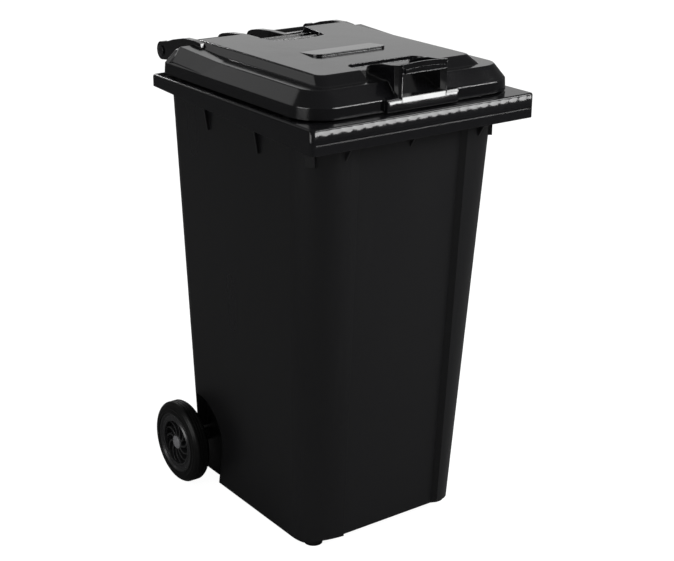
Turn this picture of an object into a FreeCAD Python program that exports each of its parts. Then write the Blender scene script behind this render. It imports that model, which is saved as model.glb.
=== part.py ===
import FreeCAD, Part
import math
import os

# Two-wheeled 240 litre wheelie bin: moulded tub, hinged lid, steel axle and two push-on wheels.
# Design frame in millimetres: X across (0 on the centre line), Y back from the front of the rim,
# Z up from the floor. Pieces are moved forward by half of the overall depth when they are saved,
# so the saved origin lies on the floor under the middle of the bin.

# Tub
rim_width = 580.0
rim_depth = 625.0
rim_top = 1004.0
rim_wall = 4.0
rim_corner = 10.0
rim_skirt_front = 53.0
rim_skirt_rear = 26.0
rim_overhang = 34.0
rim_edge_round = 5.0
groove_height = 4.0
groove_depth = 2.5
groove_drop = 29.0
tub_wall = 4.0
tub_top_front = 38.0
tub_base_front = 93.0
tub_base_width = 423.0
tub_rear_gap = 3.0
tub_rear_lean = 11.0
tub_front_corner = 90.0
tub_rear_corner = 40.0
base_clearance = 7.0
base_skirt = 19.0
panel_depth = 13.0
panel_top_half = 134.0
panel_base_half = 126.0
panel_bevel = 9.0
toe_height = 28.0
toe_length = 57.0
foot_radius = 21.0
foot_inset_x = 35.0
foot_inset_y = 59.0

# Ribs under the rim
gusset_thickness = 4.0
side_gusset_reach = 12.0
side_gusset_tip_reach = 5.0
side_gusset_hang = 62.0
side_gusset_shares = (0.392, 0.709)
corner_boss_angle = 54.5
corner_boss_width = 22.0
corner_boss_reach = 8.0
corner_boss_hang = 46.0
front_gusset_spacing = 175.0
front_gusset_reach = 22.0
front_gusset_hang = 34.0

# Wheels and axle
wheel_diameter = 200.0
wheel_width = 44.0
wheel_outer_gap = 71.0
tyre_rim_diameter = 146.0
tyre_shoulder = 11.0
tyre_shoulder_drop = 20.0
hub_dish_diameter = 106.0
hub_boss_wall = 3.0
hub_spokes = 11
hub_spoke_thickness = 4.5
tread_groove_spacing = 7.0
tread_groove_width = 2.0
tread_groove_depth = 1.2
axle_diameter = 20.0
axle_setback = 38.0
axle_fit = 0.25
bush_wall = 2.5
bush_fit = 0.05
well_depth = 21.5
well_shy = 3.0
well_forward = 17.0
well_lift = 22.0
well_rear_post = 30.0
well_post_rise = 25.0
well_toe = 84.0
axle_rib_thickness = 8.0
axle_rib_count = 5
axle_bay_depth = 75.0
axle_bay_headroom = 20.0
axle_bay_rise = 55.0
retainer_thickness = 1.2
cap_wall = 1.5
cap_rise = 5.0
washer_thickness = 2.0
cap_ledge = 6.0
end_gap = 0.4
spacer_wall = 5.0
boss_inboard = 8.0
boss_inset = 7.0
retainer_slots = 6

# Lid
lid_gap = 4.0
lid_wall = 3.5
lid_front = 30.0
lid_rear_gap = 21.0
lid_side_inset = 17.0
lid_band_height = 24.0
lid_ledge_rise = 54.0
lid_panel_rise = 72.0
lid_band_lean = 2.0
ledge_inset = 24.0
ledge_front_setback = 28.0
ledge_rear_setback = 14.0
ledge_width = 38.0
ledge_front_width = 21.0
ledge_rear_width = 8.0
panel_slope_run = 12.0
panel_front_run = 27.0
band_corner = 72.0
ledge_corner = 48.0
panel_corner = 22.0
lid_rear_corner = 12.0
lid_edge_round = 5.0

recess_length = 157.0
recess_low_setback = 33.0
recess_drop = 24.0
recess_front_half = 70.0
recess_rear_half = 92.0
recess_bow = 15.0
recess_rib_places = ((116.0, 5.0), (69.0, 9.0))
recess_rib_thickness = 6.0
wedge_front = 260.0
wedge_length = 65.0
wedge_height = 5.0
wedge_half = 95.0
wedge_corner = 20.0
facet_length = 204.0
facet_setback = 26.0
facet_rise = 8.0
panel_round = 8.0
stop_gap = 0.3

# Front grip of the lid
grip_half = 62.0
grip_front = 16.0
grip_wall = 4.0
grip_top_above_rim = 97.0
grip_arch = 3.0
grip_bar_height = 18.0
grip_lip = 3.0
grip_back = 128.0
notch_half = 95.0
notch_back = 165.0
notch_depth = 9.0
notch_corner = 25.0
grip_corner = 8.0
pad_half = 92.0
pad_front = 18.0

# Hinge
hinge_behind_rim = 90.0
hinge_above_rim = 29.0
knuckle_radius = 21.0
pin_diameter = 14.0
pin_fit = 0.1
arm_thickness = 15.0
arm_root = 72.0
outer_arm_inset = 78.0
inner_arm_centre = 41.0
bracket_gap = 2.0
bracket_thickness = 12.0
grip_bar_diameter = 30.0
pin_head_diameter = 24.0
pin_head_thickness = 5.0
pin_head_gap = 0.4
pin_grip = 25.0
bracket_hang = 45.0

# Worked out from the sizes above
hinge_y = rim_depth + hinge_behind_rim
overall_depth = hinge_y + knuckle_radius
half_rim = rim_width / 2
hinge_z = rim_top + hinge_above_rim
tub_top_half = half_rim - rim_overhang
tub_height = rim_top - base_clearance
floor_top = base_clearance + base_skirt + tub_wall
tub_base_rear = rim_depth - tub_rear_lean
axle_y = rim_depth - axle_setback
axle_z = wheel_diameter / 2
well_radius = wheel_diameter / 2 - well_shy
axle_bay_height = axle_z + axle_bay_headroom
cap_diameter = axle_diameter + 2 * cap_ledge
hub_boss_diameter = cap_diameter + 2 * hub_boss_wall
wheel_outer_x = tub_base_width / 2 + wheel_outer_gap
wheel_inner_x = wheel_outer_x - wheel_width
well_x = tub_base_width / 2 - well_depth
lid_bottom = rim_top + lid_gap
lid_rear = rim_depth - lid_rear_gap
recess_front = lid_rear - recess_length
lid_half = half_rim - lid_side_inset
OUT = FreeCAD.Vector(1, 0, 0)
BACK = FreeCAD.Vector(0, 1, 0)
UP = FreeCAD.Vector(0, 0, 1)


def vec(x, y, z):
    return FreeCAD.Vector(x, y, z)


def box(x0, x1, y0, y1, z0, z1):
    return Part.makeBox(x1 - x0, y1 - y0, z1 - z0, vec(x0, y0, z0))


def rounded_outline(half_width, front, rear, front_round, rear_round, z):
    """Closed outline at height z with arcs at its four corners."""
    corners = [
        (half_width, front, -1, 1, front_round),
        (half_width, rear, -1, -1, rear_round),
        (-half_width, rear, 1, -1, rear_round),
        (-half_width, front, 1, 1, front_round),
    ]
    middle = 1 - math.sqrt(0.5)
    points = []
    for x, y, inward_x, inward_y, r in corners:
        along_x = vec(x + inward_x * r, y, z)
        along_y = vec(x, y + inward_y * r, z)
        mid = vec(x + inward_x * r * middle, y + inward_y * r * middle, z)
        starts_on_x = inward_x * inward_y < 0
        points.append((along_x, mid, along_y) if starts_on_x else (along_y, mid, along_x))
    edges = []
    for index, (start, mid, end) in enumerate(points):
        edges.append(Part.Arc(start, mid, end).toShape())
        edges.append(Part.LineSegment(end, points[(index + 1) % 4][0]).toShape())
    return Part.Wire(edges)


def loft(outlines):
    return Part.makeLoft(outlines, True, True)


def side_prism(points, x0, x1):
    """Prism across X from an outline given as (y, z) points."""
    corners = [vec(x0, y, z) for y, z in points]
    face = Part.Face(Part.makePolygon(corners + corners[:1]))
    return face.extrude(vec(x1 - x0, 0, 0))


def mirrored(shape):
    return shape.mirror(vec(0, 0, 0), OUT)


def both_sides(shape):
    return [shape, mirrored(shape)]


def rod(radius, x0, x1, y, z):
    return Part.makeCylinder(radius, x1 - x0, vec(x0, y, z), OUT)


def turned(points, y, z):
    """Solid turned about a line along X through (y, z), from (x, radius) points."""
    corners = [vec(x, y, z + r) for x, r in points]
    face = Part.Face(Part.makePolygon(corners + corners[:1]))
    return face.revolve(vec(0, y, z), OUT, 360)


def tub_share(z):
    return (z - base_clearance) / tub_height


def tub_half_width(z):
    return tub_base_width / 2 + (tub_top_half - tub_base_width / 2) * tub_share(z)


def tub_rear(z):
    top = rim_depth - tub_rear_gap
    return tub_base_rear + (top - tub_base_rear) * tub_share(z)


def tub_front(z):
    return tub_base_front + (tub_top_front - tub_base_front) * tub_share(z)


def skirt_bottom(y):
    share = y / rim_depth
    return rim_top - rim_skirt_front + (rim_skirt_front - rim_skirt_rear) * share


def tub_outline(z, inset):
    return rounded_outline(
        tub_half_width(z) - inset,
        tub_front(z) + inset,
        tub_rear(z) - inset,
        tub_front_corner - inset,
        tub_rear_corner - inset,
        z,
    )


def front_panel_cut(grow):
    """Tool for the recessed panel between the two front corner columns."""
    outlines = []
    for z, half in ((base_clearance - 20, panel_base_half), (skirt_bottom(0), panel_top_half)):
        back = tub_front(z) + panel_depth + grow
        front = tub_front(z) - 20
        flare = panel_bevel * (back - front) / (panel_depth + grow)
        corners = [
            vec(-half - grow - flare, front, z),
            vec(-half - grow, back, z),
            vec(half + grow, back, z),
            vec(half + grow + flare, front, z),
        ]
        outlines.append(Part.makePolygon(corners + corners[:1]))
    return loft(outlines)


def toe_cut():
    """Tool that lifts the front of the base clear of the floor, sloping up to the front."""
    rise = (toe_height - base_clearance) / toe_length
    ahead = tub_base_front
    points = [
        (tub_base_front + toe_length, base_clearance),
        (0, toe_height + rise * ahead),
        (0, -60),
        (tub_base_front + toe_length, -60),
    ]
    return side_prism(points, -rim_width, rim_width)


def wheel_well_cuts(grow):
    """Arched recess beside each wheel, with a post left behind its upper half."""
    x0 = well_x - grow
    x1 = rim_width
    y = axle_y - well_forward
    z = axle_z + well_lift
    r = well_radius + grow
    post = tub_base_rear - well_rear_post + grow
    far = rim_depth + 50
    arch = rod(r, x0, x1, y, z).common(box(x0, x1, 0, post, 0, rim_top))
    toe = axle_y - well_toe - grow
    low = axle_z + well_post_rise + grow
    foot = [(y - r, z), (toe, 0), (toe, -50), (far, -50), (far, low), (post, low), (post, z)]
    return both_sides(arch.fuse(side_prism(foot, x0, x1)))


def axle_bay_points(grow):
    front = tub_base_rear - axle_bay_depth - grow
    top = axle_bay_height + grow
    return [
        (front, -50),
        (front, top),
        (rim_depth + 50, top + axle_bay_rise * (rim_depth + 50 - front) / axle_bay_depth),
        (rim_depth + 50, -50),
    ]


def axle_bay_cut(grow, half):
    """Open bay across the back of the base that the axle lies in."""
    return side_prism(axle_bay_points(grow), -half, half)


def axle_ribs():
    """Upright ribs across the bay, each bored for the axle."""
    z0 = base_clearance
    outer = tub_outline(z0, 0)
    body = loft([outer, tub_outline(rim_top, 0)])
    front = tub_base_rear - axle_bay_depth - tub_wall
    span = 2 * well_x - axle_rib_thickness
    ribs = []
    for index in range(axle_rib_count):
        x = -span / 2 + span * index / (axle_rib_count - 1)
        x0 = x - axle_rib_thickness / 2
        slab = box(x0, x0 + axle_rib_thickness, front, rim_depth, z0, axle_bay_height + 2 * axle_bay_rise)
        ribs.append(slab.common(body))
    return ribs


def rim_shell():
    """Rim channel: flat top and a skirt that hangs lower at the front than at the rear."""
    low = rim_top - rim_skirt_front
    outer = rounded_outline(half_rim, 0, rim_depth, rim_corner, rim_corner, low)
    block = Part.Face(outer).extrude(UP * rim_skirt_front)
    top_edges = [e for e in block.Edges if all(abs(v.Z - rim_top) < 0.01 for v in e.Vertexes)]
    block = block.makeFillet(rim_edge_round, top_edges)
    corner = rim_corner - rim_wall
    inner = rounded_outline(half_rim - rim_wall, rim_wall, rim_depth - rim_wall, corner, corner, low - 1)
    block = block.cut(Part.Face(inner).extrude(UP * (rim_skirt_front - rim_wall + 1)))
    below = [(-50, low - 50), (-50, low), (0, low), (rim_depth + 50, skirt_bottom(rim_depth + 50))]
    below.append((rim_depth + 50, low - 50))
    block = block.cut(side_prism(below, -rim_width, rim_width))
    groove_z = rim_top - groove_drop
    groove = box(
        -half_rim + rim_corner, half_rim - rim_corner, -1, groove_depth, groove_z - groove_height, groove_z
    )
    return block.cut(groove)


def side_gussets():
    """Plates from the side walls out under the rim; each narrows towards its tip."""
    half = gusset_thickness / 2
    top = rim_top - 1
    plates = []
    for share in side_gusset_shares:
        y = share * rim_depth
        high = skirt_bottom(y)
        low = high - side_gusset_hang
        outline = [
            vec(tub_half_width(low) - tub_wall / 2, y - half, low),
            vec(tub_half_width(low) + side_gusset_tip_reach, y - half, low),
            vec(tub_half_width(high) + side_gusset_reach, y - half, high),
            vec(tub_half_width(high) + side_gusset_reach, y - half, top),
            vec(tub_half_width(low) - tub_wall / 2, y - half, top),
        ]
        plates.append(Part.Face(Part.makePolygon(outline + outline[:1])).extrude(BACK * gusset_thickness))
    return [s for plate in plates for s in both_sides(plate)]


def corner_bosses():
    """Short bosses that stand out from the front corner columns under the rim."""
    low = skirt_bottom(0) - corner_boss_hang
    column = tub_front_corner
    reach = corner_boss_reach + tub_wall / 2
    boss = box(-corner_boss_width / 2, corner_boss_width / 2, -reach, 0, low, rim_top - 1)
    boss.translate(vec(0, -column + tub_wall / 2, 0))
    boss.rotate(vec(0, 0, 0), UP, corner_boss_angle)
    boss.translate(vec(tub_half_width(low) - column, tub_front(low) + column, 0))
    return both_sides(boss)


def front_gussets():
    """Small pointed ribs under the front of the rim."""
    high = skirt_bottom(0)
    low = high - front_gusset_hang
    half = gusset_thickness / 2
    ribs = []
    for x, setback in ((-front_gusset_spacing, 0), (0, panel_depth), (front_gusset_spacing, 0)):
        wall = tub_front(low) + setback
        points = [
            (wall + tub_wall / 2, low),
            (wall, low),
            (wall - front_gusset_reach, high),
            (wall - front_gusset_reach, rim_top - 1),
            (wall + tub_wall / 2, rim_top - 1),
        ]
        ribs.append(side_prism(points, x - half, x + half))
    return ribs


def hinge_spans():
    """X spans on the right-hand side of the lid arms, tub brackets and pin shanks."""
    outer_arm = (half_rim - outer_arm_inset - arm_thickness, half_rim - outer_arm_inset)
    inner_arm = (inner_arm_centre - arm_thickness / 2, inner_arm_centre + arm_thickness / 2)
    outer_bracket = (outer_arm[0] - bracket_gap - bracket_thickness, outer_arm[0] - bracket_gap)
    inner_bracket = (inner_arm[1] + bracket_gap, inner_arm[1] + bracket_gap + bracket_thickness)
    return {
        "outer_arm": outer_arm,
        "inner_arm": inner_arm,
        "outer_bracket": outer_bracket,
        "inner_bracket": inner_bracket,
        "outer_pin": (outer_bracket[0] - pin_grip, outer_arm[1] + pin_head_gap),
        "inner_pin": (inner_arm[0] - pin_head_gap, inner_bracket[1] + pin_grip),
    }


def rear_grips():
    """Two rear grips: bars on the hinge line, each held by an outer and an inner bracket."""
    spans = hinge_spans()
    r = grip_bar_diameter / 2
    low = skirt_bottom(rim_depth) - bracket_hang
    web = [
        (tub_rear(low) - 2, low),
        (tub_rear(low) + 20, low + 14),
        (hinge_y - 4, hinge_z - r + 1),
        (hinge_y, hinge_z + r - 1),
        (rim_depth + 8, rim_top - 3),
        (tub_rear(low) - 2, rim_top - 3),
    ]
    pieces = [rod(r, spans["inner_bracket"][0], spans["outer_bracket"][1], hinge_y, hinge_z)]
    for name in ("outer_bracket", "inner_bracket"):
        pieces.append(side_prism(web, *spans[name]))
    return [s for piece in pieces for s in both_sides(piece)]


def pin_bores(radius):
    """Bores on the hinge line that hold the shanks of the four pins."""
    spans = hinge_spans()
    bores = [rod(radius, *spans[name], hinge_y, hinge_z) for name in ("outer_pin", "inner_pin")]
    return [s for bore in bores for s in both_sides(bore)]


def build_tub():
    z0 = base_clearance
    outer = loft([tub_outline(z0, 0), tub_outline(rim_top, 0)])
    outer = outer.cut(front_panel_cut(0))
    for tool in wheel_well_cuts(0):
        outer = outer.cut(tool)
    outer = outer.cut(axle_bay_cut(0, well_x))
    gussets = side_gussets() + corner_bosses() + front_gussets()
    body = outer.multiFuse(axle_ribs() + [rim_shell()] + gussets + rear_grips())

    cavity = loft([tub_outline(floor_top, tub_wall), tub_outline(rim_top + 30, tub_wall)])
    cavity = cavity.cut(front_panel_cut(tub_wall))
    for tool in wheel_well_cuts(tub_wall):
        cavity = cavity.cut(tool)
    cavity = cavity.cut(axle_bay_cut(tub_wall, rim_width))
    body = body.cut(cavity)

    under_top = floor_top - tub_wall
    under = loft([tub_outline(z0 - 30, tub_wall), tub_outline(under_top, tub_wall)])
    under = under.cut(front_panel_cut(tub_wall))
    bay_front = tub_base_rear - axle_bay_depth - tub_wall
    under = under.cut(box(-rim_width, rim_width, bay_front, rim_depth, -60, under_top))
    body = body.cut(under)
    body = body.cut(toe_cut())

    foot_x = tub_base_width / 2 - foot_inset_x
    foot_y = tub_base_front + foot_inset_y
    foot = Part.makeCylinder(foot_radius, under_top + 1, vec(foot_x, foot_y, 0), UP)
    body = body.multiFuse(both_sides(foot))
    bore = rod(axle_diameter / 2 + axle_fit, -rim_width, rim_width, axle_y, axle_z)
    body = body.cut(bore)
    for hole in pin_bores(pin_diameter / 2 + bush_fit):
        body = body.cut(hole)
    return body.removeSplitter()


def lid_levels(grow):
    """Heights and insets of the lid's outlines; grow is 0 outside and minus the wall inside."""
    wall = -grow
    crease = lid_bottom + lid_band_height - 0.4 * wall
    ledge = lid_bottom + lid_ledge_rise - wall
    panel = lid_bottom + lid_panel_rise - wall
    return crease, ledge, panel


def lid_outline(side_inset, front_inset, rear_inset, corner, z):
    return rounded_outline(
        lid_half - side_inset, lid_front + front_inset, lid_rear - rear_inset, corner, lid_rear_corner, z
    )


def lid_body(grow):
    """Solid of the lid's three tiers."""
    wall = -grow
    crease, ledge, panel = lid_levels(grow)
    low = lid_bottom - 2 * wall
    half_wall = 0.4 * wall
    crease_line = lid_outline(lid_band_lean + wall, wall, wall, band_corner, crease)
    band = loft([lid_outline(wall, wall, wall, band_corner, low), crease_line])
    side = ledge_inset + half_wall
    front = ledge_front_setback + half_wall
    rear = ledge_rear_setback + half_wall
    slope = loft([crease_line, lid_outline(side, front, rear, ledge_corner, ledge)])
    side += ledge_width
    front += ledge_front_width
    rear += ledge_rear_width
    upper_base = lid_outline(side, front, rear, panel_corner, ledge - wall / 2 - 1)
    side += panel_slope_run
    front += panel_front_run
    rear += panel_slope_run
    upper = loft([upper_base, lid_outline(side, front, rear, panel_corner, panel)])
    return band.multiFuse([slope, upper])


def rear_recess(grow):
    """Sunk bay in the back of the top panel; its floor slopes down to the rear ledge."""
    half_front = recess_front_half + grow
    half_rear = recess_rear_half + grow
    front = recess_front - grow
    rear = lid_rear - ledge_rear_setback + 1
    z = lid_bottom
    corners = [
        vec(half_front, front + recess_bow, z),
        vec(half_rear, rear, z),
        vec(-half_rear, rear, z),
        vec(-half_front, front + recess_bow, z),
    ]
    edges = [Part.LineSegment(a, b).toShape() for a, b in zip(corners, corners[1:])]
    edges.append(Part.Arc(corners[3], vec(0, front, z), corners[0]).toShape())
    plan = Part.Face(Part.Wire(edges)).extrude(UP * 200)
    top = lid_levels(0)[2]
    fall = recess_drop * (rear - recess_front) / (recess_length - recess_low_setback)
    slopes = [(front - 1, top - grow), (rear, top - grow - fall), (rear, top + 60), (front - 1, top + 60)]
    return plan.common(side_prism(slopes, -lid_half, lid_half))


def recess_ribs():
    """Low cross ribs that stand in the rear recess."""
    top = lid_levels(0)[2]
    ribs = []
    for setback, drop in recess_rib_places:
        y = lid_rear - setback
        reach = recess_rear_half - 6
        ribs.append(box(-reach, reach, y, y + recess_rib_thickness, lid_levels(0)[1] - 10, top - drop))
    return ribs


def front_notch(grow):
    """Notch in the front of the top panel that fingers reach into behind the grip."""
    panel = lid_levels(0)[2]
    ledge = lid_levels(0)[1]
    half = notch_half + grow
    slab = box(-half, half, grip_front - 20, notch_back + grow, ledge - 40, panel + 60)
    rear_edges = [e for e in slab.Edges if is_upright(e) and e.Vertexes[0].Y > notch_back - 1]
    slab = slab.makeFillet(notch_corner, rear_edges)
    front = lid_front + ledge_front_setback + ledge_front_width
    floor = [
        (grip_front - 20, ledge - grow),
        (front, ledge - grow),
        (front + panel_front_run, panel - notch_depth - 6 - grow),
        (notch_back + grow, panel - notch_depth - grow),
        (notch_back + grow, panel + 60),
        (grip_front - 20, panel + 60),
    ]
    return slab.common(side_prism(floor, -lid_half, lid_half))


def grip_pocket(grow):
    """Finger space inside the grip, running down to the window at its front."""
    panel = lid_levels(0)[2]
    half = grip_half - grip_wall + grow
    sill = lid_bottom + lid_band_height + 3
    floor = [
        (grip_front + grip_wall - grow, sill - grow),
        (lid_front + 14, sill - grow),
        (grip_back, panel - notch_depth - 4 - grow),
        (grip_back, panel + 60),
        (grip_front + grip_wall - grow, panel + 60),
    ]
    return side_prism(floor, -half, half)


def is_upright(edge):
    a, b = edge.Vertexes[0].Point, edge.Vertexes[-1].Point
    return len(edge.Vertexes) == 2 and abs(a.x - b.x) < 0.01 and abs(a.y - b.y) < 0.01


def front_grip():
    """Loop grip: two cheeks that run back into the lid and an arched bar across their fronts."""
    top = rim_top + grip_top_above_rim
    panel = lid_levels(0)[2]
    ledge = lid_levels(0)[1]
    sill = lid_bottom + lid_band_height
    cheek = [
        (grip_front, sill - 8),
        (grip_front, top),
        (grip_front + 36, top - 5),
        (grip_front + 64, top - 7),
        (grip_back - 17, panel + 7),
        (grip_back, panel + 1),
        (grip_back + 4, panel - notch_depth - 3),
        (grip_back - 40, ledge - 3),
        (lid_front + ledge_front_setback, ledge - 3),
        (lid_front + 4, sill - 8),
    ]
    hood = side_prism(cheek, -grip_half, grip_half)
    front_edges = [e for e in hood.Edges if is_upright(e) and e.Vertexes[0].Y < grip_front + 1]
    hood = hood.makeFillet(grip_corner, front_edges)
    inner = grip_half - grip_wall
    room = box(-inner, inner, grip_front + grip_wall, grip_back + 20, sill - 20, top + 20)
    hood = hood.cut(room)
    crown = arched_bar(inner + 1, top - 6, grip_arch, grip_front, grip_front + grip_wall, 6)
    window_top = top - grip_bar_height
    tall = window_top - sill - 4
    window = arched_bar(inner - 1, sill + 4, grip_arch, grip_front - 5, grip_front + 20, tall)
    hood = hood.fuse(crown).cut(window)
    lip = arched_bar(inner - 6, window_top, grip_arch, grip_front - grip_lip, grip_front + grip_wall + 2, 8)
    return hood.fuse(lip)


def arched_bar(half, z, rise, front, back, height):
    """Bar across X whose lower edge is level at its ends and whose upper edge bows up."""
    left = [vec(-half, front, z + height), vec(-half, front, z)]
    corners = left + [vec(half, front, z), vec(half, front, z + height)]
    edges = [Part.LineSegment(corners[i], corners[i + 1]).toShape() for i in (0, 2)]
    edges.insert(1, Part.LineSegment(corners[1], corners[2]).toShape())
    edges.append(Part.Arc(corners[3], vec(0, front, z + height + rise), corners[0]).toShape())
    return Part.Face(Part.Wire(edges)).extrude(BACK * (back - front))


def front_pad():
    """Thick pad on the lid's front band below the grip."""
    low = lid_bottom
    high = lid_bottom + lid_band_height + 3
    profile = [(lid_front + 4, low), (pad_front, low), (pad_front - 1, high - 5), (pad_front + 3, high)]
    profile += [(lid_front + 6, high + 1)]
    return side_prism(profile, -pad_half, pad_half)


def label_wedge():
    """Shallow wedge raised from the top panel, highest along its front edge."""
    panel = lid_levels(0)[2]
    profile = [(wedge_front, panel - 1), (wedge_front, panel + wedge_height)]
    profile += [(wedge_front + wedge_length, panel), (wedge_front + wedge_length, panel - 1)]
    wedge = side_prism(profile, -wedge_half, wedge_half)
    front_edges = [e for e in wedge.Edges if is_upright(e) and e.Vertexes[0].Y < wedge_front + 1]
    return wedge.makeFillet(wedge_corner, front_edges)


def corner_facets():
    """Raised shoulders at the lid's rear corners."""
    crease, ledge, _ = lid_levels(0)
    out = lid_half - lid_band_lean
    edge = lid_half - ledge_inset
    root = edge - ledge_width + 1
    rear = lid_rear - ledge_rear_setback - facet_setback
    front = lid_rear - facet_length
    low_front = [vec(out - 1, front, crease), vec(edge, front, ledge), vec(root, front, ledge - 1)]
    low_front.append(vec(root, front, crease - 4))
    top = ledge + facet_rise
    peak = [vec(out - 1, rear, crease + 6), vec(edge, rear, top), vec(root, rear, top)]
    peak.append(vec(root, rear, crease - 4))
    end = lid_rear - 5
    tail = [vec(out - 2, end, crease - 3), vec(edge - 6, end, ledge - 12), vec(root, end, ledge - 12)]
    tail.append(vec(root, end, crease - 8))
    sections = [Part.makePolygon(points + points[:1]) for points in (low_front, peak, tail)]
    return both_sides(loft(sections[:2]).fuse(loft(sections[1:])))


def lid_arms():
    """Four hinge arms that curve down over the rim to the knuckles."""
    spans = hinge_spans()
    ledge = lid_levels(0)[1]
    panel = lid_levels(0)[2]
    crown = hinge_z + knuckle_radius
    root = lid_rear - arm_root
    outer = [(root, ledge - 4), (root + 8, panel - 3), (lid_rear - 34, panel - 1), (lid_rear + 8, panel - 3)]
    outer += [(hinge_y - 55, panel - 13), (hinge_y - 22, crown + 3), (hinge_y + 4, crown - 2)]
    inner = [(root + 25, ledge - 10), (root + 40, ledge + 4), (lid_rear + 36, ledge + 3)]
    inner += [(hinge_y - 29, ledge - 1), (hinge_y - 2, crown + 2), (hinge_y + 9, crown - 2)]
    under = [(hinge_y, hinge_z - knuckle_radius), (hinge_y - 65, hinge_z - 13), (lid_rear + 8, hinge_z - 7)]
    under += [(lid_rear - 20, hinge_z), (lid_rear - 40, ledge - 4)]
    arms = []
    for name, top in (("outer_arm", outer), ("inner_arm", inner)):
        plate = side_prism(top + under, *spans[name])
        arms += both_sides(plate.fuse(rod(knuckle_radius, *spans[name], hinge_y, hinge_z)))
    return arms


def lid_stops():
    """Small studs under the band that carry the closed lid on the rim."""
    x = lid_half - 4
    studs = []
    for y in (lid_front + band_corner + 8, lid_rear - 70):
        studs.append(box(x - 6, x + 1, y, y + 18, rim_top + stop_gap, lid_bottom + 8))
    return [s for stud in studs for s in both_sides(stud)]


def build_lid():
    outer = lid_body(0).removeSplitter()
    outer = round_edges(outer)
    outer = outer.multiFuse(corner_facets())
    outer = outer.cut(front_notch(0)).cut(rear_recess(0))
    cavity = lid_body(-lid_wall)
    cavity = cavity.cut(front_notch(lid_wall)).cut(rear_recess(lid_wall)).cut(grip_pocket(lid_wall))
    shell = outer.cut(cavity)
    front_parts = [front_grip(), front_pad(), label_wedge()]
    shell = shell.multiFuse(front_parts + recess_ribs() + lid_arms() + lid_stops())
    shell = shell.cut(grip_pocket(0))
    for bore in pin_bores(pin_diameter / 2 + pin_fit):
        shell = shell.cut(bore)
    return shell.removeSplitter()


def round_edges(body):
    crease, ledge, panel = lid_levels(0)
    for z, radius in ((panel, panel_round), (ledge, lid_edge_round)):
        edges = [e for e in body.Edges if all(abs(v.Z - z) < 0.01 for v in e.Vertexes)]
        body = body.makeFillet(radius, edges)
    return body


def turned_arcs(points, y, z):
    """Solid turned about a line along X; a point of four numbers is an arc's middle and end."""
    edges = []
    start = points[0]
    for point in points[1:] + points[:1]:
        a = vec(start[0], y, z + start[1])
        end = vec(point[-2], y, z + point[-1])
        if len(point) == 4:
            edges.append(Part.Arc(a, vec(point[0], y, z + point[1]), end).toShape())
        else:
            edges.append(Part.LineSegment(a, end).toShape())
        start = point[-2:]
    return Part.Face(Part.Wire(edges)).revolve(vec(0, y, z), OUT, 360)


def dome(x_edge, radius, x_top):
    """Arc from (x_edge, radius) to the axis at x_top, centred on the axis."""
    height = x_top - x_edge
    ball = (radius**2 + height**2) / (2 * abs(height))
    way = math.copysign(1, height)
    half_angle = math.asin(radius / ball) / 2
    centre = x_top - way * ball
    return (centre + way * ball * math.cos(half_angle), ball * math.sin(half_angle), x_top, 0)


def tread_grooves():
    """Points of three shallow grooves round the tread, from the inner side outwards."""
    middle = (wheel_inner_x + wheel_outer_x) / 2
    r = wheel_diameter / 2
    points = []
    for step in (-1, 0, 1):
        x0 = middle + step * tread_groove_spacing - tread_groove_width / 2
        x1 = x0 + tread_groove_width
        points += [(x0, r), (x0, r - tread_groove_depth), (x1, r - tread_groove_depth), (x1, r)]
    return points


def build_tyre():
    seat = tyre_rim_diameter / 2
    r = wheel_diameter / 2
    low = r - tyre_shoulder_drop
    bulge = 1 - math.sqrt(0.5)
    side = tyre_shoulder * bulge
    top = r - tyre_shoulder_drop * bulge
    profile = [
        (wheel_inner_x, seat),
        (wheel_inner_x, low),
        (wheel_inner_x + side, top, wheel_inner_x + tyre_shoulder, r),
        *tread_grooves(),
        (wheel_outer_x - tyre_shoulder, r),
        (wheel_outer_x - side, top, wheel_outer_x, low),
        (wheel_outer_x, seat + 5),
        (wheel_outer_x + 1.5, seat + 3.5, wheel_outer_x, seat + 2),
        (wheel_outer_x, seat),
    ]
    return turned_arcs(profile, axle_y, axle_z)


def spoke(index):
    """One curved spoke, swept round between the boss and the rim."""
    turn = 2 * math.pi * index / hub_spokes
    stations = [(hub_boss_diameter / 2 - 1, 0.0), (37.0, 0.22), (hub_dish_diameter / 2 + 1, 0.72)]
    sides = []
    for side in (-1, 1):
        points = []
        for r, angle in stations:
            a = turn + angle + side * hub_spoke_thickness / (2 * r)
            points.append(vec(wheel_inner_x + 6, axle_y + r * math.sin(a), axle_z + r * math.cos(a)))
        sides.append(points)
    near, far = sides
    edges = [Part.Arc(*near).toShape(), Part.LineSegment(near[2], far[2]).toShape()]
    edges += [Part.Arc(*far[::-1]).toShape(), Part.LineSegment(far[0], near[0]).toShape()]
    return Part.Face(Part.Wire(edges)).extrude(OUT * (wheel_width - 12))


def boss_ends():
    return wheel_inner_x - boss_inboard, wheel_outer_x - boss_inset


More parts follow.
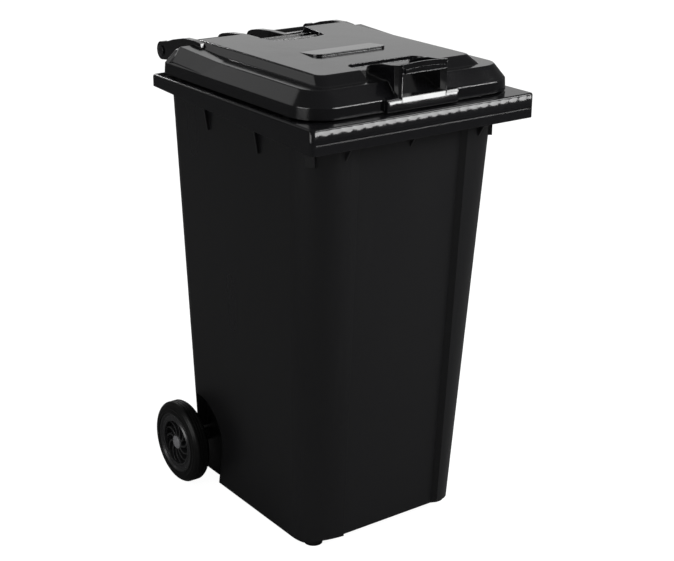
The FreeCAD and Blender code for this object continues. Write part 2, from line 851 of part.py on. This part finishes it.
def build_hub():
    seat = tyre_rim_diameter / 2
    dish = hub_dish_diameter / 2
    x0, x1 = boss_ends()
    middle = (wheel_inner_x + wheel_outer_x) / 2
    rim = [
        (wheel_inner_x + 1, seat),
        (wheel_inner_x + 1, dish + 3),
        (middle, dish),
        (wheel_outer_x - 2, dish + 1),
        (wheel_outer_x - 1, dish + 4),
        (wheel_outer_x - 4, dish + 8),
        (wheel_outer_x - 4, seat - 5),
        (wheel_outer_x, seat - 2),
        (wheel_outer_x, seat),
    ]
    web = rod(dish + 1, middle - 2, middle + 2, axle_y, axle_z)
    boss = rod(hub_boss_diameter / 2, x0, x1, axle_y, axle_z)
    hub = turned(rim, axle_y, axle_z).multiFuse([web, boss] + [spoke(i) for i in range(hub_spokes)])
    bore = axle_diameter / 2 + bush_fit + bush_wall
    socket = rod(cap_diameter / 2, x1 - 3, x1 + 1, axle_y, axle_z)
    return hub.cut(rod(bore, x0 - 1, x1 + 1, axle_y, axle_z)).cut(socket).removeSplitter()


def ring(outer, inner, x0, x1):
    return rod(outer, x0, x1, axle_y, axle_z).cut(rod(inner, x0 - 1, x1 + 1, axle_y, axle_z))


def build_bush():
    x0, x1 = boss_ends()
    inner = axle_diameter / 2 + bush_fit
    return ring(inner + bush_wall, inner, x0, x1 - 3)


def build_spacer():
    inner = axle_diameter / 2 + bush_fit
    return ring(inner + spacer_wall, inner, well_x + end_gap, boss_ends()[0] - end_gap)


def axle_end():
    return boss_ends()[1] - 3 + end_gap + washer_thickness + end_gap + retainer_thickness + 3


def build_washer():
    x0 = boss_ends()[1] - 3 + end_gap
    return ring(cap_diameter / 2 - 2.5, axle_diameter / 2 + bush_fit, x0, x0 + washer_thickness)


def build_retainer():
    x0 = boss_ends()[1] - 3 + end_gap + washer_thickness + end_gap
    disc = ring(cap_diameter / 2 - 3.5, axle_diameter / 2 + bush_fit / 2, x0, x0 + retainer_thickness)
    slots = []
    for index in range(retainer_slots):
        slot = box(x0 - 1, x0 + 3, -1, 1, axle_diameter / 2 - 1, axle_diameter / 2 + 1.6)
        slot.rotate(vec(0, 0, 0), OUT, 360 * index / retainer_slots)
        slot.translate(vec(0, axle_y, axle_z))
        slots.append(slot)
    return disc.cut(slots[0].multiFuse(slots[1:]))


def build_cap():
    """Domed cap whose skirt sits in the hub's socket over the axle's end."""
    x0 = boss_ends()[1] - 3
    r = cap_diameter / 2
    shoulder = axle_end() - 1
    inside = dome(shoulder - cap_wall, r - cap_wall, shoulder + cap_rise - cap_wall)
    back = (inside[0], inside[1], shoulder - cap_wall, r - cap_wall)
    profile = [
        (x0, r - cap_wall),
        (x0, r),
        (shoulder, r),
        dome(shoulder, r, shoulder + cap_rise),
        (shoulder + cap_rise - cap_wall, 0),
        back,
    ]
    return turned_arcs(profile, axle_y, axle_z)


def build_axle():
    end = axle_end()
    bar = rod(axle_diameter / 2, -end, end, axle_y, axle_z)
    return bar.makeChamfer(1.5, [e for e in bar.Edges if len(e.Vertexes) == 1])


def build_pin(name, head_outward):
    """Moulded hinge pin: shank, domed head and a short lead-in taper."""
    x0, x1 = hinge_spans()[name]
    head = x1 if head_outward else x0
    tip = x0 if head_outward else x1
    way = 1 if head_outward else -1
    r = pin_diameter / 2
    big = pin_head_diameter / 2
    profile = [
        (tip, 0),
        (tip, r - 2),
        (tip + way * 3, r),
        (head, r),
        (head, big),
        (head + way * pin_head_thickness / 2, big),
        dome(head + way * pin_head_thickness / 2, big, head + way * pin_head_thickness),
    ]
    return turned_arcs(profile, hinge_y, hinge_z)


def save(name, shape):
    placed = shape.copy()
    placed.translate(vec(0, -overall_depth / 2, 0))
    placed.exportStep("parts/" + name + ".step")
    volume = round(placed.Volume / 1000, 1)
    print(name, "solids", len(placed.Solids), "volume", volume, "cm3", placed.isValid())


os.makedirs("parts", exist_ok=True)
save("tub", build_tub())
save("lid", build_lid())
save("axle", build_axle())
right_pieces = {
    "tyre": build_tyre(),
    "wheel_hub": build_hub(),
    "wheel_bush": build_bush(),
    "axle_spacer": build_spacer(),
    "axle_washer": build_washer(),
    "axle_retainer": build_retainer(),
    "hub_cap": build_cap(),
    "hinge_pin_outer": build_pin("outer_pin", True),
    "hinge_pin_inner": build_pin("inner_pin", False),
}
for name, piece in right_pieces.items():
    save(name + "_right", piece)
    save(name + "_left", mirrored(piece))
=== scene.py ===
import math
import bpy
from mathutils import Matrix, Vector


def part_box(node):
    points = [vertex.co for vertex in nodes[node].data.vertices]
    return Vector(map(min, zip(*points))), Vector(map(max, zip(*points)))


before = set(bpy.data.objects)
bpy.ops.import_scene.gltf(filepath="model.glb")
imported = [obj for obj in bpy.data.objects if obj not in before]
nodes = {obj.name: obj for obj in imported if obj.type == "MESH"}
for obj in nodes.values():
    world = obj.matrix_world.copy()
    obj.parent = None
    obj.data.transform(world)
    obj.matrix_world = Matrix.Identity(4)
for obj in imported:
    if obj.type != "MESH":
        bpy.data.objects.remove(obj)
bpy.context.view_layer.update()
print("frame loaded:", len(nodes), "nodes")


def toLinear(hexColour):
    channels = [int(hexColour[i:i + 2], 16) / 255 for i in (1, 3, 5)]
    linear = [c / 12.92 if c <= 0.04045 else ((c + 0.055) / 1.055) ** 2.4 for c in channels]
    return (*linear, 1.0)


def addNode(tree, kind, settings=None, links=None):
    node = tree.nodes.new(kind)
    for key, value in (settings or {}).items():
        if isinstance(key, str) and hasattr(node, key):
            setattr(node, key, value)  # a property of the node itself
        else:
            node.inputs[key].default_value = value
    for key, source in (links or {}).items():
        output = getattr(source, "outputs", [source])[0]  # a node gives its first output
        tree.links.new(output, node.inputs[key])
    return node


def newMaterial(name):
    material = bpy.data.materials.new(name)
    material.use_nodes = True
    material.node_tree.nodes.clear()
    return material, material.node_tree


def perMetre(millimetres):
    return 1000 / millimetres  # noise scale that gives features of this size


# Injection-moulded HDPE is deep black all through; the eye gets a soft sheen broken up by
# the etched tool grain, slow flow marks that change the gloss, and a few rubbed streaks.
# Real grain is a few tenths of a millimetre, so it is drawn coarser here to show at all
def mouldedPlastic(name, look):
    material, tree = newMaterial(name)
    place = addNode(tree, "ShaderNodeTexCoord").outputs["Object"]
    flow = addNode(tree, "ShaderNodeTexNoise",
                   {"Scale": perMetre(look["flowMm"]), "Detail": 3.0, "Roughness": 0.55},
                   {"Vector": addNode(tree, "ShaderNodeMapping", {"Scale": (1.0, 1.0, 0.25)},
                                      {"Vector": place}).outputs[0]})
    grain = addNode(tree, "ShaderNodeTexNoise",
                    {"Scale": perMetre(look["grainMm"]), "Detail": 2.0}, {"Vector": place})
    streak = addNode(tree, "ShaderNodeTexNoise",
                     {"Scale": perMetre(look["streakMm"]), "Detail": 4.0, "Roughness": 0.7},
                     {"Vector": addNode(tree, "ShaderNodeMapping",
                                        {"Scale": (1.0, 1.0, 0.12), "Rotation": (0.5, 0.3, 0.0)},
                                        {"Vector": place}).outputs[0]})
    rubbed = addNode(tree, "ShaderNodeMapRange",
                     {"interpolation_type": "SMOOTHSTEP", "From Min": 0.6, "From Max": 0.8,
                      "To Min": 0.0, "To Max": look["rub"]}, {"Value": streak.outputs["Fac"]})
    gloss = addNode(tree, "ShaderNodeMapRange",
                    {"interpolation_type": "SMOOTHSTEP", "From Min": 0.3, "From Max": 0.7,
                     "To Min": look["roughness"] - look["spread"],
                     "To Max": look["roughness"] + look["spread"]}, {"Value": flow.outputs["Fac"]})
    rougher = addNode(tree, "ShaderNodeMath", {"operation": "MULTIPLY_ADD", 1: look["rubDulls"]},
                      {0: rubbed, 2: gloss})
    colour = addNode(tree, "ShaderNodeMix",
                     {"data_type": "RGBA", 6: toLinear(look["colour"]), 7: toLinear(look["rubColour"])},
                     {0: rubbed})
    edge = addNode(tree, "ShaderNodeBevel", {"samples": 4, "Radius": look["edgeMm"] / 1000})
    waves = addNode(tree, "ShaderNodeBump",
                    {"Strength": look["waveStrength"], "Distance": look["waveMm"] / 1000},
                    {"Height": flow.outputs["Fac"], "Normal": edge.outputs[0]})
    bump = addNode(tree, "ShaderNodeBump",
                   {"Strength": look["grainStrength"], "Distance": look["grainMm"] / 1000 * 0.1},
                   {"Height": grain.outputs["Fac"], "Normal": waves.outputs[0]})
    shader = addNode(tree, "ShaderNodeBsdfPrincipled",
                     {"IOR": look["ior"], "Specular IOR Level": look["specular"]},
                     {"Base Color": colour.outputs[2], "Roughness": rougher,
                      "Normal": bump.outputs[0]})
    addNode(tree, "ShaderNodeOutputMaterial", {}, {"Surface": shader.outputs[0]})
    return material, tree, shader, bump, place


def give(material, *names):
    for name in names:
        slots = nodes[name].data.materials
        slots.clear()
        slots.append(material)


def bothSides(*names):
    return [f"{name}_{side}" for name in names for side in ("left", "right")]


tubLook = {"colour": "#09090a", "rubColour": "#131315", "roughness": 0.32, "spread": 0.05,
           "flowMm": 260, "waveMm": 1.0, "waveStrength": 0.35, "grainMm": 1.6, "grainStrength": 0.2,
           "streakMm": 60, "rub": 0.35, "rubDulls": 0.25, "edgeMm": 1.5, "ior": 1.54, "specular": 0.22}
rimLook = {"roughness": 0.12, "gripsAboveMm": 44, "highMm": 53, "wallMm": 8, "rollMm": 30,
           "dropMm": 9.5, "pitchMm": 27, "scallopMm": 2.2, "jitterMm": 9, "shiftMm": 6}


# A wall whose top edge is rolled over; ribs behind it pull the roll in as the plastic cools, so
# the eye gets a bright band along the edge with a broken, scalloped lower outline
def addRolledEdge(tree, shader, oldNormal, place, top, onEdge, look):
    across, _, height = addNode(tree, "ShaderNodeSeparateXYZ", {}, {"Vector": place}).outputs
    jitter = addNode(tree, "ShaderNodeTexNoise", {"Scale": perMetre(look["jitterMm"]), "Detail": 2.0},
                     {"Vector": place})
    shifted = addNode(tree, "ShaderNodeMath", {"operation": "MULTIPLY_ADD", 1: look["shiftMm"] / 1000},
                      {0: jitter.outputs["Fac"], 2: across})  # so the ribs aren't quite even
    turns = addNode(tree, "ShaderNodeMath",
                    {"operation": "MULTIPLY", 1: 1000 * math.pi / look["pitchMm"]}, {0: shifted})
    wave = addNode(tree, "ShaderNodeMath", {"operation": "SINE"}, {0: turns})
    humps = addNode(tree, "ShaderNodeMath", {"operation": "ABSOLUTE"}, {0: wave})
    scallop = addNode(tree, "ShaderNodeMath",
                      {"operation": "MULTIPLY_ADD", 1: look["scallopMm"] / 1000,
                       2: (look["rollMm"] - look["scallopMm"]) / 1000 - top}, {0: humps})
    raised = addNode(tree, "ShaderNodeMath", {"operation": "ADD"}, {0: height, 1: scallop})
    above = addNode(tree, "ShaderNodeMath", {"operation": "MAXIMUM", 1: 0.0}, {0: raised})
    squared = addNode(tree, "ShaderNodeMath", {"operation": "POWER", 1: 2.0}, {0: above})
    roll = addNode(tree, "ShaderNodeMath",
                   {"operation": "MULTIPLY", 1: -look["dropMm"] * 1000 / look["rollMm"] ** 2},
                   {0: squared})
    rolled = addNode(tree, "ShaderNodeBump", {"Strength": 1.0, "Distance": 1.0},
                     {"Height": roll, "Normal": oldNormal})
    facing = addNode(tree, "ShaderNodeNewGeometry").outputs["True Normal"]
    upward = addNode(tree, "ShaderNodeSeparateXYZ", {}, {"Vector": facing}).outputs["Z"]
    upright = addNode(tree, "ShaderNodeMapRange",
                      {"interpolation_type": "SMOOTHSTEP", "From Min": 0.3, "From Max": 0.6,
                       "To Min": 1.0, "To Max": 0.0}, {"Value": upward})
    onWall = addNode(tree, "ShaderNodeMath", {"operation": "MULTIPLY"}, {0: upright, 1: onEdge})
    normal = addNode(tree, "ShaderNodeMix", {"data_type": "VECTOR"},
                     {0: onWall, 4: oldNormal, 5: rolled})
    tree.links.new(normal.outputs[1], shader.inputs["Normal"])


# The rim is polished in the mould where the body is etched; only its front wall has the roll
tubPlastic, tubTree, tubShader, tubBump, tubPlace = mouldedPlastic("injectionMouldedHdpeTub", tubLook)
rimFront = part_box("tub")[0][1]
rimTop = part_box("tub")[1][2] - rimLook["gripsAboveMm"] / 1000
_, tubBack, tubHeight = addNode(tubTree, "ShaderNodeSeparateXYZ", {}, {"Vector": tubPlace}).outputs
rimFoot = rimTop - rimLook["highMm"] / 1000
onRim = addNode(tubTree, "ShaderNodeMapRange",
                {"interpolation_type": "SMOOTHSTEP", "From Min": rimFoot - 0.001,
                 "From Max": rimFoot + 0.003}, {"Value": tubHeight})
etched = tubShader.inputs["Roughness"].links[0].from_socket
gloss = addNode(tubTree, "ShaderNodeMix", {"data_type": "FLOAT", 3: rimLook["roughness"]},
                {0: onRim, 2: etched})
tubTree.links.new(gloss.outputs[0], tubShader.inputs["Roughness"])
behindWall = rimFront + rimLook["wallMm"] / 1000
nearFront = addNode(tubTree, "ShaderNodeMapRange",
                    {"interpolation_type": "SMOOTHSTEP", "From Min": behindWall - 0.002,
                     "From Max": behindWall, "To Min": 1.0, "To Max": 0.0}, {"Value": tubBack})
onFront = addNode(tubTree, "ShaderNodeMath", {"operation": "MULTIPLY"}, {0: onRim, 1: nearFront})
addRolledEdge(tubTree, tubShader, tubBump.outputs[0], tubPlace, rimTop, onFront, rimLook)
give(tubPlastic, "tub")

# The lid comes from a polished tool, so it mirrors the studio with slightly wavy outlines
lidLook = {"colour": "#050506", "rubColour": "#101012", "roughness": 0.12, "spread": 0.03,
           "flowMm": 170, "waveMm": 1.2, "waveStrength": 0.4, "grainMm": 2.2, "grainStrength": 0.05,
           "streakMm": 50, "rub": 0.25, "rubDulls": 0.25, "edgeMm": 2.5, "ior": 1.54, "specular": 0.5}
padLook = {"rollMm": 30, "dropMm": 9, "pitchMm": 70, "scallopMm": 2, "jitterMm": 30, "shiftMm": 6,
           "halfMm": 91, "behindRimMm": 38, "aboveRimMm": 30}
lidPlastic, lidTree, lidShader, lidBump, lidPlace = mouldedPlastic("injectionMouldedHdpeLid", lidLook)
lidAcross, lidBack, _ = addNode(lidTree, "ShaderNodeSeparateXYZ", {}, {"Vector": lidPlace}).outputs
fromMiddle = addNode(lidTree, "ShaderNodeMath", {"operation": "ABSOLUTE"}, {0: lidAcross})
padHalf = padLook["halfMm"] / 1000
padBack = rimFront + padLook["behindRimMm"] / 1000
padTop = rimTop + padLook["aboveRimMm"] / 1000
withinSides = addNode(lidTree, "ShaderNodeMapRange",
                      {"interpolation_type": "SMOOTHSTEP", "From Min": padHalf - 0.004,
                       "From Max": padHalf, "To Min": 1.0, "To Max": 0.0}, {"Value": fromMiddle})
beforeBack = addNode(lidTree, "ShaderNodeMapRange",
                     {"interpolation_type": "SMOOTHSTEP", "From Min": padBack - 0.002,
                      "From Max": padBack, "To Min": 1.0, "To Max": 0.0}, {"Value": lidBack})
onPad = addNode(lidTree, "ShaderNodeMath", {"operation": "MULTIPLY"}, {0: withinSides, 1: beforeBack})
addRolledEdge(lidTree, lidShader, lidBump.outputs[0], lidPlace, padTop, onPad, padLook)
give(lidPlastic, "lid")

# Polypropylene wheel centres are a touch greyer and show a dry satin skin
hubLook = {"colour": "#121213", "rubColour": "#2a2a2c", "roughness": 0.3, "spread": 0.06,
           "flowMm": 40, "waveMm": 0.4, "waveStrength": 0.3, "grainMm": 1.2, "grainStrength": 0.25,
           "streakMm": 14, "rub": 0.6, "rubDulls": 0.25, "edgeMm": 0.8, "ior": 1.49, "specular": 0.5}
give(mouldedPlastic("injectionMouldedPolypropyleneHub", hubLook)[0], *bothSides("wheel_hub"))

spacerLook = {**hubLook, "colour": "#101011", "roughness": 0.42, "edgeMm": 0.4}
give(mouldedPlastic("extrudedPolypropyleneSpacer", spacerLook)[0], *bothSides("axle_spacer"))

# The snap-on cap is a paler grey plastic, smooth and a little scuffed
capLook = {**hubLook, "colour": "#4a4a4c", "rubColour": "#5e5e60", "specular": 0.25,
           "roughness": 0.3, "spread": 0.03, "streakMm": 6, "edgeMm": 0.5}
give(mouldedPlastic("mouldedAbsCap", capLook)[0], *bothSides("hub_cap"))

# Acetal pins are smooth and nearly glossy black
pinLook = {**hubLook, "colour": "#0c0c0d", "rubColour": "#202022", "roughness": 0.2, "spread": 0.03,
           "edgeMm": 0.5}
give(mouldedPlastic("mouldedAcetalPin", pinLook)[0], *bothSides("hinge_pin_outer", "hinge_pin_inner"))

# Natural nylon is a warm off-white that looks waxy
bushLook = {**hubLook, "colour": "#d8d3c4", "rubColour": "#a9a498", "roughness": 0.38, "edgeMm": 0.3,
            "ior": 1.53}
give(mouldedPlastic("mouldedNaturalNylonBush", bushLook)[0], *bothSides("wheel_bush"))
print("plastics done")


# Moulded rubber is near black and a little dusty: the eye gets rings round the side wall, patchy
# grey scuffs and a pimpled skin, which is drawn coarser than real so that it shows
tyreLook = {"colour": "#060606", "dustColour": "#151514", "roughness": 0.34, "dustDulls": 0.3,
            "pimpleMm": 1.5, "pimpleStrength": 0.3, "scuffMm": 9, "dust": 0.4, "edgeMm": 0.6,
            "ringMm": 7, "ringDeepMm": 0.5, "ior": 1.52, "specular": 0.12}


def mouldedRubber(look):
    material, tree = newMaterial("mouldedRubberTyre")
    place = addNode(tree, "ShaderNodeTexCoord").outputs["Object"]
    pimples = addNode(tree, "ShaderNodeTexVoronoi", {"Scale": perMetre(look["pimpleMm"])},
                      {"Vector": place})
    scuffs = addNode(tree, "ShaderNodeTexNoise",
                     {"Scale": perMetre(look["scuffMm"]), "Detail": 5.0, "Roughness": 0.7},
                     {"Vector": place})
    dust = addNode(tree, "ShaderNodeMapRange",
                   {"interpolation_type": "SMOOTHSTEP", "From Min": 0.5, "From Max": 0.75,
                    "To Min": 0.0, "To Max": look["dust"]}, {"Value": scuffs.outputs["Fac"]})
    colour = addNode(tree, "ShaderNodeMix",
                     {"data_type": "RGBA", 6: toLinear(look["colour"]), 7: toLinear(look["dustColour"])},
                     {0: dust})
    roughness = addNode(tree, "ShaderNodeMath",
                        {"operation": "MULTIPLY_ADD", 1: look["dustDulls"], 2: look["roughness"]},
                        {0: dust})
    edge = addNode(tree, "ShaderNodeBevel", {"samples": 4, "Radius": look["edgeMm"] / 1000})
    skin = addNode(tree, "ShaderNodeBump",
                   {"Strength": look["pimpleStrength"], "Distance": look["pimpleMm"] / 1000 * 0.15},
                   {"Height": pimples.outputs["Distance"], "Normal": edge})
    low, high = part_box("tyre_left")
    _, back, height = addNode(tree, "ShaderNodeSeparateXYZ", {}, {"Vector": place}).outputs
    squares = []
    for along, centre in ((back, (low[1] + high[1]) / 2), (height, (low[2] + high[2]) / 2)):
        offset = addNode(tree, "ShaderNodeMath", {"operation": "SUBTRACT", 1: centre}, {0: along})
        distance = addNode(tree, "ShaderNodeMath", {"operation": "ABSOLUTE"}, {0: offset})
        squares.append(addNode(tree, "ShaderNodeMath", {"operation": "POWER", 1: 2.0}, {0: distance}))
    total = addNode(tree, "ShaderNodeMath", {"operation": "ADD"}, {0: squares[0], 1: squares[1]})
    radius = addNode(tree, "ShaderNodeMath", {"operation": "SQRT"}, {0: total})
    turns = addNode(tree, "ShaderNodeMath",
                    {"operation": "MULTIPLY", 1: 2000 * math.pi / look["ringMm"]}, {0: radius})
    rings = addNode(tree, "ShaderNodeMath", {"operation": "SINE"}, {0: turns})
    ringed = addNode(tree, "ShaderNodeBump", {"Strength": 1.0, "Distance": look["ringDeepMm"] / 2000},
                     {"Height": rings, "Normal": skin})
    shader = addNode(tree, "ShaderNodeBsdfPrincipled",
                     {"IOR": look["ior"], "Specular IOR Level": look["specular"]},
                     {"Base Color": colour.outputs[2], "Roughness": roughness, "Normal": ringed})
    addNode(tree, "ShaderNodeOutputMaterial", {}, {"Surface": shader.outputs[0]})
    return material


give(mouldedRubber(tyreLook), *bothSides("tyre"))

# Zinc-plated steel is a pale grey with duller patches, broad on the drawn bar and small on the
# pressed parts; fine lines run round the axle, drawn coarser than real so that they show
axleLook = {"colour": "#b9bbbd", "dullColour": "#8b8d90", "roughness": 0.3, "dullness": 0.15,
            "lineMm": 0.8, "lineDeepMm": 0.1, "lineStrength": 0.15, "patchMm": 25}
pressedLook = {**axleLook, "colour": "#c3c3bd", "dullColour": "#93938c", "roughness": 0.34,
               "lineMm": 1.2, "patchMm": 5}


def zincPlatedSteel(name, look):
    material, tree = newMaterial(name)
    place = addNode(tree, "ShaderNodeTexCoord").outputs["Object"]
    stretched = addNode(tree, "ShaderNodeMapping", {"Scale": (1.0, 0.1, 0.1)}, {"Vector": place})
    lines = addNode(tree, "ShaderNodeTexNoise", {"Scale": perMetre(look["lineMm"]), "Detail": 2.0},
                    {"Vector": stretched.outputs[0]})
    patches = addNode(tree, "ShaderNodeTexNoise",
                      {"Scale": perMetre(look["patchMm"]), "Detail": 4.0, "Roughness": 0.6},
                      {"Vector": place})
    dulled = addNode(tree, "ShaderNodeMapRange",
                     {"interpolation_type": "SMOOTHSTEP", "From Min": 0.4, "From Max": 0.7},
                     {"Value": patches.outputs["Fac"]})
    colour = addNode(tree, "ShaderNodeMix",
                     {"data_type": "RGBA", 6: toLinear(look["colour"]), 7: toLinear(look["dullColour"])},
                     {0: dulled})
    roughness = addNode(tree, "ShaderNodeMath",
                        {"operation": "MULTIPLY_ADD", 1: look["dullness"], 2: look["roughness"]},
                        {0: dulled})
    bump = addNode(tree, "ShaderNodeBump",
                   {"Strength": look["lineStrength"], "Distance": look["lineDeepMm"] / 1000},
                   {"Height": lines.outputs["Fac"]})
    shader = addNode(tree, "ShaderNodeBsdfPrincipled", {"Metallic": 1.0},
                     {"Base Color": colour.outputs[2], "Roughness": roughness,
                      "Normal": bump.outputs[0]})
    addNode(tree, "ShaderNodeOutputMaterial", {}, {"Surface": shader.outputs[0]})
    return material


give(zincPlatedSteel("zincPlatedDrawnSteelAxle", axleLook), "axle")
give(zincPlatedSteel("zincPlatedPressedSteel", pressedLook), *bothSides("axle_washer", "axle_retainer"))
print("rubber and steel done")


stageLook = {"floor": "#f4f4f4", "floorSize": 60.0, "mirroredFloor": "#565656", "shadow": 0.14,
             "seen": 1.0, "glow": 1.1, "fill": 0.8, "mirrored": 0.12}


def addFloor():
    half = stageLook["floorSize"] / 2
    mesh = bpy.data.meshes.new("studioFloor")
    corners = [(-half, -half, 0), (half, -half, 0), (half, half, 0), (-half, half, 0)]
    mesh.from_pydata(corners, [], [(0, 1, 2, 3)])
    floor = bpy.data.objects.new("studioFloor", mesh)
    bpy.context.scene.collection.objects.link(floor)
    material, tree = newMaterial("mattPaintedFloor")
    ray = addNode(tree, "ShaderNodeLightPath").outputs
    colour = addNode(tree, "ShaderNodeMix",  # darker in reflections, as black cards would make it
                     {"data_type": "RGBA", 6: toLinear(stageLook["floor"]),
                      7: toLinear(stageLook["mirroredFloor"])}, {0: ray["Is Glossy Ray"]})
    shader = addNode(tree, "ShaderNodeBsdfDiffuse", {}, {"Color": colour.outputs[2]})
    glow = addNode(tree, "ShaderNodeEmission", {"Strength": stageLook["glow"]})
    lit = addNode(tree, "ShaderNodeMath", {"operation": "MULTIPLY", 1: 1 - stageLook["shadow"]},
                  {0: ray["Is Camera Ray"]})  # seen like a white light table, with a faint shadow
    surface = addNode(tree, "ShaderNodeMixShader", {}, {0: lit, 1: shader, 2: glow})
    addNode(tree, "ShaderNodeOutputMaterial", {}, {"Surface": surface.outputs[0]})
    mesh.materials.append(material)


def addWorld():
    world = bpy.data.worlds.new("studioWorld")
    world.use_nodes = True
    tree = world.node_tree
    tree.nodes.clear()
    ray = addNode(tree, "ShaderNodeLightPath").outputs
    notSeen = addNode(tree, "ShaderNodeMix",
                      {"data_type": "FLOAT", 2: stageLook["fill"], 3: stageLook["mirrored"]},
                      {0: ray["Is Glossy Ray"]})
    strength = addNode(tree, "ShaderNodeMix", {"data_type": "FLOAT", 3: stageLook["seen"]},
                       {0: ray["Is Camera Ray"], 2: notSeen.outputs[0]})
    sky = addNode(tree, "ShaderNodeBackground", {"Color": (1.0, 1.0, 1.0, 1.0)},
                  {"Strength": strength.outputs[0]})
    addNode(tree, "ShaderNodeOutputWorld", {}, {"Surface": sky.outputs[0]})
    bpy.context.scene.world = world


def addSoftbox(name, place, aim, width, height, watts):
    light = bpy.data.lights.new(name, "AREA")
    light.shape = "RECTANGLE"
    light.size = width
    light.size_y = height
    light.energy = watts
    lamp = bpy.data.objects.new(name, light)
    lamp.location = place
    lamp.rotation_euler = (Vector(aim) - Vector(place)).to_track_quat("-Z", "Y").to_euler()
    bpy.context.scene.collection.objects.link(lamp)


def addCamera():
    cameraLook = {"place": (-1.8435, -2.5805, 1.699), "turnDeg": 35.65, "tiltDeg": 19.82,
                  "rollDeg": 0.31, "lens": 77.7, "sensor": 36.0, "shift": (0.0176, -0.0173)}
    camera = bpy.data.cameras.new("mainCamera")
    camera.lens = cameraLook["lens"]
    camera.sensor_width = cameraLook["sensor"]
    camera.shift_x, camera.shift_y = cameraLook["shift"]
    holder = bpy.data.objects.new("mainCamera", camera)
    turn = Matrix.Rotation(-math.radians(cameraLook["turnDeg"]), 4, "Z")
    tilt = Matrix.Rotation(math.radians(90 - cameraLook["tiltDeg"]), 4, "X")
    roll = Matrix.Rotation(math.radians(cameraLook["rollDeg"]), 4, "Z")
    holder.matrix_world = Matrix.Translation(cameraLook["place"]) @ turn @ tilt @ roll
    bpy.context.scene.collection.objects.link(holder)
    bpy.context.scene.camera = holder


addWorld()
addFloor()
# place, aim, width, height and radiance of each softbox; its area and radiance give its power
softboxes = {
    "softboxBehindRight": ((2.3, 4.1, 1.5), (0, 0, 1.1), 4.6, 2.4, 0.6),
    "softboxBehindLeft": ((-1.7, 3.3, 3.2), (0, 0.2, 1.0), 1.8, 1.6, 0.5),
    "softboxLeft": ((-4.2, -0.2, 1.9), (0, 0, 0.7), 3.0, 2.4, 5.0),
    "softboxEdge": ((0.6, 3.6, 2.7), (0, 0.2, 1.05), 0.6, 0.6, 14.0),
    "softboxFrontRight": ((1.46, -2.4, 2.5), (0, -0.37, 1.0), 2.6, 1.5, 18.0),
}
for boxName, (place, aim, width, height, radiance) in softboxes.items():
    addSoftbox(boxName, place, aim, width, height, radiance * width * height * math.pi)
addCamera()
bpy.context.scene.view_settings.view_transform = "Standard"
print("stage done")
